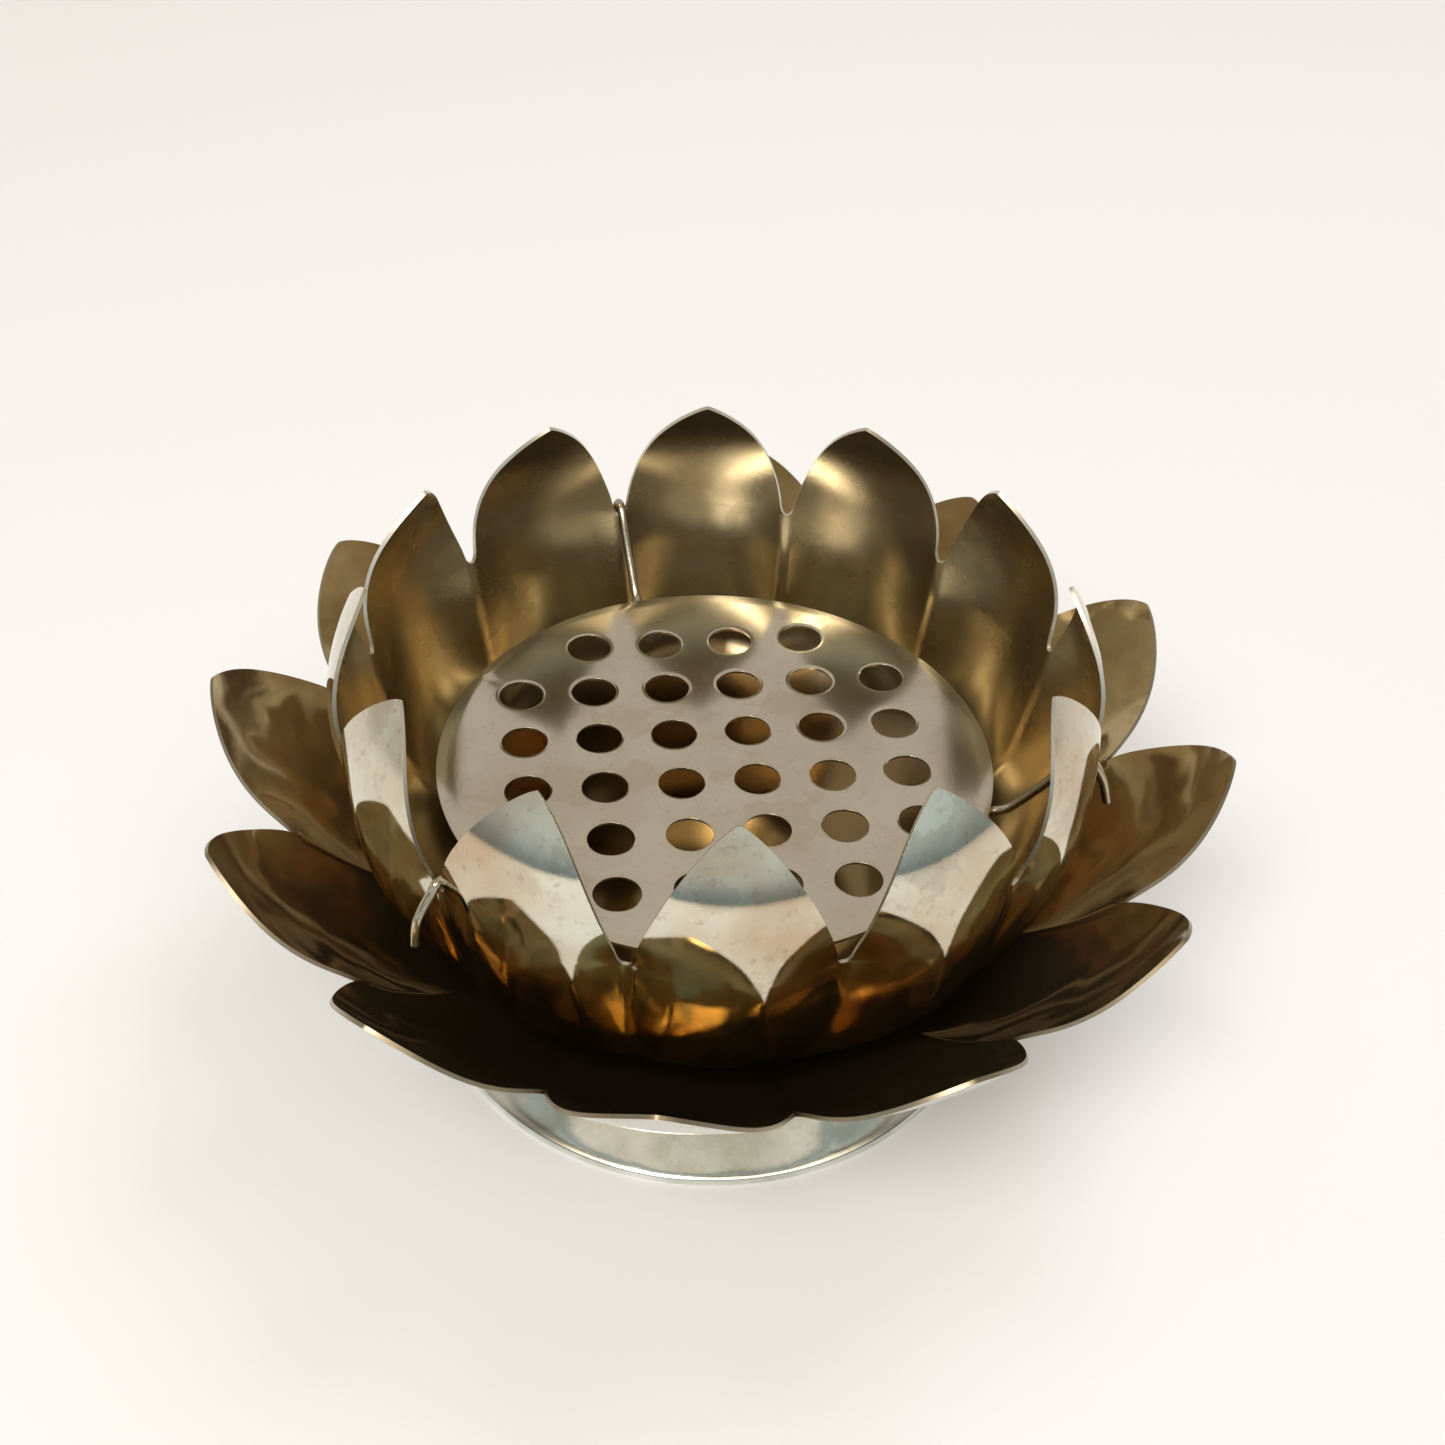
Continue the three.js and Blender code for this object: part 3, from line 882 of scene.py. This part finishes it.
    def dress(self) -> bpy.types.Object:
        """Gives the disc its thickness, rubbed hole edges and satin finish."""
        finishes = [DISC_SATIN.material(), CUT_EDGE.material()]
        piece = finished_piece(
            "frog_disc_drilled", self.mesh(), finishes, Body.FROG, ["frog_disc"]
        )
        wall = piece.modifiers.new("sheet_thickness", "SOLIDIFY")
        wall.thickness = self.thickness * MM
        wall.offset = -1.0
        wall.material_offset_rim = 1
        round_edges(piece, 0.08, segments=2, angle=40.0)
        return piece


@dataclass
class WireHook:
    """A bent wire that carries the disc, with the solder that holds it, in the radial plane of its notch."""

    place: str
    azimuth: float
    leg_out: float
    leg_drop: float
    leg_arch: float
    wire_radius: float = 1.0
    wire_gap: float = 0.4
    sides: int = 20

    def path(self) -> list[Vector]:
        """The wire's centre line as radius and height in mm, from under the disc to the leg outside."""
        run = lowest_mm("frog_disc") - self.wire_gap - self.wire_radius
        leg_x, leg_y = 76.6, 77.7
        return smooth_through(
            [
                (46, run),
                (50.4, run),
                (55, run),
                (58.2, run + 0.2),
                (61.2, 63.3),
                (64.4, 67.1),
                (68.3, 72.2),
                (72, 77.3),
                (73.7, 79),
                (75.4, 79.1),
                (leg_x, leg_y),
                (leg_x + self.leg_out * (0.5 + self.leg_arch), leg_y - self.leg_drop * 0.45),
                (leg_x + self.leg_out, leg_y - self.leg_drop),
            ],
            8,
        )

    def mesh(self) -> bmesh.types.BMesh:
        """Sweeps the wire's round section along its path."""
        path = self.path()
        mesh = bmesh.new()
        disc = bmesh.ops.create_circle(mesh, cap_ends=True, segments=self.sides, radius=self.wire_radius * MM)
        ring = disc["verts"]
        start = list(mesh.faces)
        section = [(vert.co.x, vert.co.y) for vert in ring]
        for i, centre in enumerate(path):
            ahead = (path[min(i + 1, len(path) - 1)] - path[max(i - 1, 0)]).normalized()
            across = Vector((0.0, -ahead.y, ahead.x))
            if i:
                grown = bmesh.ops.extrude_face_region(mesh, geom=start)["geom"]
                bmesh.ops.delete(mesh, geom=start if i > 1 else [], context="FACES_ONLY")
                start = [item for item in grown if isinstance(item, bmesh.types.BMFace)]
                ring = [loop.vert for loop in start[0].loops]
            for vert, (x, y) in zip(ring, section):
                vert.co = Vector((x, centre.x * MM, centre.y * MM)) + across * y
        bmesh.ops.recalc_face_normals(mesh, faces=mesh.faces)
        turn = Matrix.Rotation(-math.radians(self.azimuth), 4, "Z")
        bmesh.ops.transform(mesh, matrix=turn, verts=mesh.verts)
        return mesh

    def dress(self) -> bpy.types.Object:
        """Plates the wire."""
        node = f"hook_wire_{self.place}"
        piece = finished_piece(
            f"{node}_bent", self.mesh(), [WIRE_PLATE.material()], Body.FROG, [node]
        )
        round_edges(piece, 0.2, segments=2, angle=60.0)
        return piece


@dataclass
class SolderSaddle:
    """The mound of solder under the disc that a hook's wire lies in."""

    hook: WireHook
    length: float = 11.0
    width: float = 8.0
    depth: float = 3.9
    middle: float = 50.4
    roll_start: float = 55.2
    disc_radius: float = 57.7
    roll: float = 0.35
    lip: float = 0.25
    gap: float = 0.3

    def mesh(self) -> bmesh.types.BMesh:
        """Shapes the mound, flattens its top to the disc, and presses the wire's groove into it."""
        underside = lowest_mm("frog_disc") + self.roll
        wire = self.hook.path()[0]
        groove = self.hook.wire_radius + self.hook.wire_gap
        mesh = bmesh.new()
        bmesh.ops.create_uvsphere(mesh, u_segments=48, v_segments=32, radius=1.0)
        for vert in mesh.verts:
            lump = noise.noise(vert.co * 1.7 + Vector((self.hook.azimuth, 0, 0))) * 0.05
            vert.co *= 1.0 + min(lump, 0.0)
            x, y = vert.co.x * self.width / 2, self.middle + vert.co.y * self.length / 2
            height = underside + vert.co.z * self.depth
            reach = math.hypot(x, y)
            along = (reach - self.roll_start) / (self.disc_radius - self.roll_start)
            drop = self.roll * min(max(along, 0), 1)
            height = min(height, underside - drop - self.gap)
            if abs(x) < groove + self.lip and y > wire.x - self.gap:
                wall = min(abs(x) / groove, 1.0)
                bed = wire.y - groove * math.sqrt(1 - wall**2)
                height = min(height, lerp(bed, height, smoothstep(abs(x), groove, groove + self.lip)))
            vert.co = MM * Vector((x, y, height))
        bmesh.ops.remove_doubles(mesh, verts=mesh.verts, dist=1e-6)
        bmesh.ops.dissolve_degenerate(mesh, edges=mesh.edges, dist=1e-6)
        bmesh.ops.recalc_face_normals(mesh, faces=mesh.faces)
        turn = Matrix.Rotation(-math.radians(self.hook.azimuth), 4, "Z")
        bmesh.ops.transform(mesh, matrix=turn, verts=mesh.verts)
        return mesh

    def dress(self) -> bpy.types.Object:
        """Gives the solder its dull grey skin."""
        node = f"solder_saddle_{self.hook.place}"
        skin = [SOLDER.material()]
        return finished_piece(f"{node}_mound", self.mesh(), skin, Body.FROG, [node])


@dataclass
class CentreFastening:
    """The screw, seal, washers and nut that clamp the cup, the plate and the foot."""

    shank_radius: float = 2.5
    head_radius: float = 5.0
    head_height: float = 3.0
    head_wall: float = 1.4
    hole_radius: float = 3.0
    slot_width: float = 1.2
    slot_depth: float = 1.3
    nut_across_flats: float = 8.0
    chamfer: float = 0.4
    split_degrees: float = 12.0
    steps: int = 72

    @staticmethod
    def _zinc(name: str, mesh: bmesh.types.BMesh, node: str) -> bpy.types.Object:
        """Makes a zinc-plated piece of the bowl that stands for one CAD node."""
        return finished_piece(name, mesh, [ZINC_STEEL.material()], Body.BOWL, [node])

    def _washer(
        self, node: str, outer: float, finish: Finish, rounding: float
    ) -> bpy.types.Object:
        """Makes a ring in the height of its CAD node.

        Args:
            node: The CAD node that it stands for.
            outer: Its outer radius in mm.
            finish: Its finish.
            rounding: How far its edges are rounded, in mm.

        Returns:
            The finished ring.
        """
        low, high = (corner.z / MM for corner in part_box(node))
        section = [(self.hole_radius, low), (outer, low), (outer, high), (self.hole_radius, high)]
        ring = turned(section, self.steps)
        piece = finished_piece(f"{node}_ring", ring, [finish.material()], Body.BOWL, [node])
        round_edges(piece, rounding)
        return piece

    def _screw(self) -> bpy.types.Object:
        """Turns the screw with its cheese head, and cuts the slot."""
        low, high = (corner.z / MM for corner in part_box("centre_screw"))
        under_head = high - self.head_height
        shoulder = (self.head_radius, under_head + self.head_wall)
        section = [(0, low), (self.shank_radius - 0.6, low), (self.shank_radius, low + 0.6)]
        section += [(self.shank_radius, under_head), (self.head_radius, under_head)]
        section.append(shoulder)
        dome = [shoulder, (4.7, under_head + 2.1), (3.8, high - 0.4), (2, high - 0.1), (0, high)]
        section += [(point.x, point.y) for point in smooth_through(dome, 3)[1:]]
        mesh = turned(section, self.steps)
        half = self.slot_width / 2 * MM
        floor = (high - self.slot_depth) * MM
        for side in (-1, 1):
            bmesh.ops.bisect_plane(mesh, geom=whole(mesh), plane_co=(0, side * half, 0), plane_no=(0, 1, 0))
        bmesh.ops.bisect_plane(mesh, geom=whole(mesh), plane_co=(0, 0, floor), plane_no=(0, 0, 1))
        inside = [
            face
            for face in mesh.faces
            if face.calc_center_median().z > floor and abs(face.calc_center_median().y) < half
        ]
        bmesh.ops.delete(mesh, geom=inside, context="FACES")
        rim = [edge for edge in mesh.edges if edge.is_boundary]
        grown = bmesh.ops.extrude_edge_only(mesh, edges=rim)["geom"]
        for vert in grown:
            if isinstance(vert, bmesh.types.BMVert):
                vert.co.z = floor
        bmesh.ops.remove_doubles(mesh, verts=mesh.verts, dist=1e-7)
        bmesh.ops.holes_fill(mesh, edges=[edge for edge in mesh.edges if edge.is_boundary])
        bmesh.ops.recalc_face_normals(mesh, faces=mesh.faces)
        piece = self._zinc("centre_screw_slotted", mesh, "centre_screw")
        round_edges(piece, 0.12, segments=2, angle=40.0)
        return piece

    def _spring_washer(self) -> bpy.types.Object:
        """Bends the split ring, whose ends stand apart at a slant."""
        low, high = (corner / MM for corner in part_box("spring_washer"))
        bore = self.hole_radius
        section = [(bore, low.z), (high.x, low.z), (high.x, high.z), (bore, high.z)]
        mesh = bmesh.new()
        corners = [mesh.verts.new((radius * MM, 0.0, height * MM)) for radius, height in section]
        end = mesh.faces.new(corners)
        split = math.radians(self.split_degrees)
        bmesh.ops.rotate(mesh, verts=corners, cent=(0, 0, 0), matrix=Matrix.Rotation(split / 2, 3, "Z"))
        bmesh.ops.spin(mesh, geom=[end], cent=(0, 0, 0), axis=UP, angle=2 * math.pi - split, steps=self.steps)
        bmesh.ops.recalc_face_normals(mesh, faces=mesh.faces)
        middle = (low.z + high.z) / 2 * MM
        slant = math.tan(math.radians(25))
        for vert in mesh.verts:
            bearing = math.atan2(vert.co.y, vert.co.x)
            nearness = 1 - smoothstep(abs(bearing), 0.0, math.radians(50))
            vert.co.y -= (vert.co.z - middle) * slant * nearness
        piece = self._zinc("spring_washer_split", mesh, "spring_washer")
        round_edges(piece, 0.15, segments=2)
        return piece

    def _nut(self) -> bpy.types.Object:
        """Makes the hexagon nut with chamfered corners and a countersunk bore."""
        low, high = (corner.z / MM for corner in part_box("hex_nut"))
        flats = self.nut_across_flats / 2
        corner = flats / math.cos(math.pi / 6)
        bore = self.shank_radius + 0.3
        cut = self.chamfer
        section = [(bore, low + cut), (bore + cut, low), (flats - 0.1, low), (corner, low + 0.45)]
        section += [(corner, high - 0.45), (flats - 0.1, high), (bore + cut, high), (bore, high - cut)]
        mesh = turned(section, self.steps)
        for vert in mesh.verts:
            bearing = math.atan2(vert.co.y, vert.co.x)
            from_flat = (bearing + math.pi / 6) % (math.pi / 3) - math.pi / 6
            flat = flats * MM / math.cos(from_flat)
            reach = vert.co.xy.length
            if reach > flat:
                vert.co.xy *= flat / reach
        bmesh.ops.recalc_face_normals(mesh, faces=mesh.faces)
        piece = self._zinc("hex_nut_chamfered", mesh, "hex_nut")
        round_edges(piece, 0.1, segments=2, angle=25.0)
        return piece

    def dress(self) -> None:
        """Makes every piece of the fastening."""
        self._screw()
        self._washer("sealing_washer", 7.0, RUBBER, 0.3)
        self._washer("flat_washer", 6.0, ZINC_STEEL, 0.15)
        self._spring_washer()
        self._nut()


# ---- Studio ----


# The reflected room, as the height of a direction above the horizon, from 0 to 1, and a colour.
FRONT_WALL = (
    (0.0, "#8f9ca1"), (0.1, "#a3b0b6"), (0.24, "#cdd6d8"), (0.37, "#dde2de"),
    (0.46, "#4a443b"), (0.76, "#554e43"), (0.9, "#a89e8b"), (1.0, "#c4baa5"),
)
BACK_WALL = ((0.0, "#dcd8ce"), (0.3, "#c8c0b2"), (0.75, "#c9c1b3"), (1.0, "#c4baa5"))
# A wide window high in front, as its brightness at heights of direction.
WINDOW = ((0.6, "#000000"), (0.7, "#ffffff"), (0.82, "#ffffff"), (0.92, "#000000"))


@dataclass
class Studio:
    """A plain pale floor, soft light, and the camera."""

    floor_colour: str = "#ebeef3"
    floor_radius: float = 2.2
    window_strength: float = 2.6
    target: Vector = field(default_factory=lambda: Vector((0.0, 0.0, 0.04)))
    distance: float = 0.4188
    elevation_degrees: float = 42.55
    azimuth_degrees: float = -3.78
    roll_degrees: float = 2.078
    lens_mm: float = 48.206
    lens_shift: tuple[float, float] = (0.0071, 0.0825)

    def floor(self) -> None:
        """Lays the floor."""
        mesh = bmesh.new()
        bmesh.ops.create_circle(mesh, cap_ends=True, segments=96, radius=self.floor_radius)
        data = bpy.data.meshes.new("floor")
        mesh.to_mesh(data)
        mesh.free()
        paint = bpy.data.materials.new("matt_white_board")
        paint.use_nodes = True
        shader = paint.node_tree.nodes["Principled BSDF"]
        shader.inputs["Base Color"].default_value = linear(self.floor_colour)
        shader.inputs["Roughness"].default_value = 0.9
        shader.inputs["Specular IOR Level"].default_value = 0.2
        data.materials.append(paint)
        floor = bpy.data.objects.new("floor", data)
        bpy.context.scene.collection.objects.link(floor)

    def world(self) -> None:
        """The room that the metal reflects: pale and warm behind the bowl, dim behind the camera.

        The camera itself sees an even pale backdrop.
        """
        world = bpy.data.worlds.new("studio")
        bpy.context.scene.world = world
        world.use_nodes = True
        tree = world.node_tree
        tree.nodes.clear()
        direction = add_node(tree, "ShaderNodeTexCoord").outputs["Generated"]
        parts = add_node(tree, "ShaderNodeSeparateXYZ", {"Vector": direction})
        front = self._wall(tree, parts.outputs["Z"], FRONT_WALL)
        back = self._wall(tree, parts.outputs["Z"], BACK_WALL)
        side = add_node(
            tree,
            "ShaderNodeMapRange",
            {"Value": parts.outputs["Y"], "From Min": -0.35, "From Max": 0.35},
            interpolation_type="SMOOTHSTEP",
        )
        walls = add_node(
            tree, "ShaderNodeMix", {"Factor": side.outputs["Result"], "A": front, "B": back}, data_type="RGBA"
        )
        room = add_node(tree, "ShaderNodeBackground", {"Color": walls.outputs[2], "Strength": 1.0})
        forward = {"Value": parts.outputs["Y"], "From Min": -0.1, "From Max": -0.62}
        forward["To Max"] = self.window_strength
        facing = add_node(tree, "ShaderNodeMapRange", forward, interpolation_type="SMOOTHSTEP")
        glow = add_node(
            tree,
            "ShaderNodeMath",
            {0: facing.outputs["Result"], 1: self._wall(tree, parts.outputs["Z"], WINDOW)},
            operation="MULTIPLY",
        )
        daylight = {"Color": linear("#fff0d8"), "Strength": glow.outputs["Value"]}
        window = add_node(tree, "ShaderNodeBackground", daylight)
        lit = add_node(tree, "ShaderNodeAddShader", {0: room.outputs[0], 1: window.outputs[0]})
        seen = add_node(tree, "ShaderNodeBackground", {"Color": linear("#f4f3f1"), "Strength": 1.0})
        rays = add_node(tree, "ShaderNodeLightPath")
        mixed = add_node(
            tree,
            "ShaderNodeMixShader",
            {0: rays.outputs["Is Camera Ray"], 1: lit.outputs[0], 2: seen.outputs[0]},
        )
        add_node(tree, "ShaderNodeOutputWorld", {"Surface": mixed.outputs[0]})

    @staticmethod
    def _wall(
        tree: bpy.types.NodeTree, height: bpy.types.NodeSocket, stops: tuple[tuple[float, str], ...]
    ) -> bpy.types.NodeSocket:
        """Adds a ramp from the horizon to overhead.

        Args:
            tree: The world's node tree.
            height: The upward part of the direction.
            stops: The height and colour of each stop, from the horizon up.

        Returns:
            The ramp's colour socket.
        """
        ramp = add_node(tree, "ShaderNodeValToRGB", {"Fac": height})
        elements = ramp.color_ramp.elements
        for _ in range(len(stops) - 2):
            elements.new(0.5)
        for element, (place, colour) in zip(elements, stops):
            element.position = place
            element.color = linear(colour)
        return ramp.outputs["Color"]

    def softbox(
        self,
        name: str,
        place: tuple[float, float, float],
        size: float,
        watts: float,
        colour: str,
        mirrored: bool,
    ) -> None:
        """Hangs a square softbox that faces the bowl.

        Args:
            name: The light's name.
            place: Where it hangs, in metres.
            size: Its side in metres.
            watts: Its power.
            colour: Its colour.
            mirrored: Whether it shows in the polished metal.
        """
        light = bpy.data.lights.new(name, "AREA")
        light.shape = "SQUARE"
        light.size = size
        light.energy = watts
        light.color = linear(colour)[:3]
        lamp = bpy.data.objects.new(name, light)
        lamp.location = place
        aim = Vector((0.0, 0.0, 0.05)) - Vector(place)
        lamp.rotation_euler = aim.to_track_quat("-Z", "Y").to_euler()
        lamp.visible_glossy = mirrored
        bpy.context.scene.collection.objects.link(lamp)

    def camera(self) -> None:
        """Sets the camera above the front of the bowl, turned and rolled a little."""
        elevation = math.radians(self.elevation_degrees)
        azimuth = math.radians(self.azimuth_degrees)
        away = Vector(
            (
                math.sin(azimuth) * math.cos(elevation),
                -math.cos(azimuth) * math.cos(elevation),
                math.sin(elevation),
            )
        )
        lens = bpy.data.cameras.new("camera")
        lens.lens = self.lens_mm
        lens.sensor_width = 36.0
        lens.shift_x, lens.shift_y = self.lens_shift
        lens.clip_start = 0.01
        camera = bpy.data.objects.new("camera", lens)
        view = (-away).to_track_quat("-Z", "Y").to_matrix().to_4x4()
        roll = Matrix.Rotation(math.radians(self.roll_degrees), 4, "Z")
        camera.matrix_world = Matrix.Translation(self.target + away * self.distance) @ view @ roll
        bpy.context.scene.collection.objects.link(camera)
        bpy.context.scene.camera = camera

    def build(self) -> None:
        """Sets up the whole studio."""
        bpy.context.scene.view_settings.view_transform = "Standard"
        self.floor()
        self.world()
        self.softbox("key_softbox", (-0.45, -0.95, 1.3), 0.6, 13.0, "#fffaf4", mirrored=True)
        self.softbox("fill_softbox", (0.5, 0.5, 1.3), 0.8, 5.0, "#f8f8ff", mirrored=False)
        self.camera()


# ---- Assembly ----


def main() -> None:
    """Builds the studio, the bowl and the frog."""
    logging.basicConfig(level=logging.INFO, format="%(name)s: %(message)s")
    Studio().build()
    cup_floor = lowest_mm("petal_cup") + PetalSheet.thickness / 2
    cup = PetalSheet(
        name="petal_cup_pressing",
        node="petal_cup",
        slot="cup_silver_plate",
        centre_line=[
            (3, cup_floor), (28, cup_floor + 0.3), (42, 28), (52, 32.3), (60, 37.2), (65.8, 42.4), (70.4, 49),
            (73.7, 57), (76.1, 66), (77.5, 76), (77.2, 86), (74.4, 96), (68.2, 106.5),
        ],
        trough_radius=30,
        tip_trough_radius=90,
        fade_from=34,
        fade_to=62,
        notch_height=76.8,
        notch_depth=2.3,
        half_width=17.9,
        tip_power=(1.9, 0.86),
    )
    cup.dress(SATIN_INSIDE, POLISHED_OUTSIDE, CUT_EDGE)
    plate_floor = lowest_mm("outer_petal_plate") + PetalSheet.thickness / 2
    plate = PetalSheet(
        name="outer_petal_pressing",
        node="outer_petal_plate",
        slot="plate_silver_plate",
        centre_line=[
            (3, plate_floor), (30, plate_floor), (48, plate_floor + 3), (64, plate_floor + 8.6),
            (78, plate_floor + 17.4), (89.5, plate_floor + 28.6), (98.5, plate_floor + 40), (105, 74.2),
        ],
        trough_radius=54,
        tip_trough_radius=140,
        fade_from=24,
        fade_to=32,
        notch_height=50.7,
        notch_depth=1.2,
        half_width=22.7,
        tip_power=(2.0, 0.74),
        turn_degrees=7.8,
        seed=7.0,
    )
    plate.dress(TARNISHED_PLATE, PLATE_UNDERSIDE, PLATE_EDGE)
    Foot(flare=[(61, 1.9), (56, 4.5), (50, 7.7), (44, 11.2), (38, 15.4), (34.6, 19.3), (33.5, 21.8)]).dress()
    FrogDisc().dress()
    for hook in (
        WireHook("rear", azimuth=-15, leg_out=3, leg_drop=9, leg_arch=0),
        WireHook("right", azimuth=105, leg_out=3.7, leg_drop=8.5, leg_arch=0.1),
        WireHook("front", azimuth=225, leg_out=4.8, leg_drop=9.6, leg_arch=0.3),
    ):
        hook.dress()
        SolderSaddle(hook).dress()
    CentreFastening().dress()


if __name__ == "__main__":
    main()
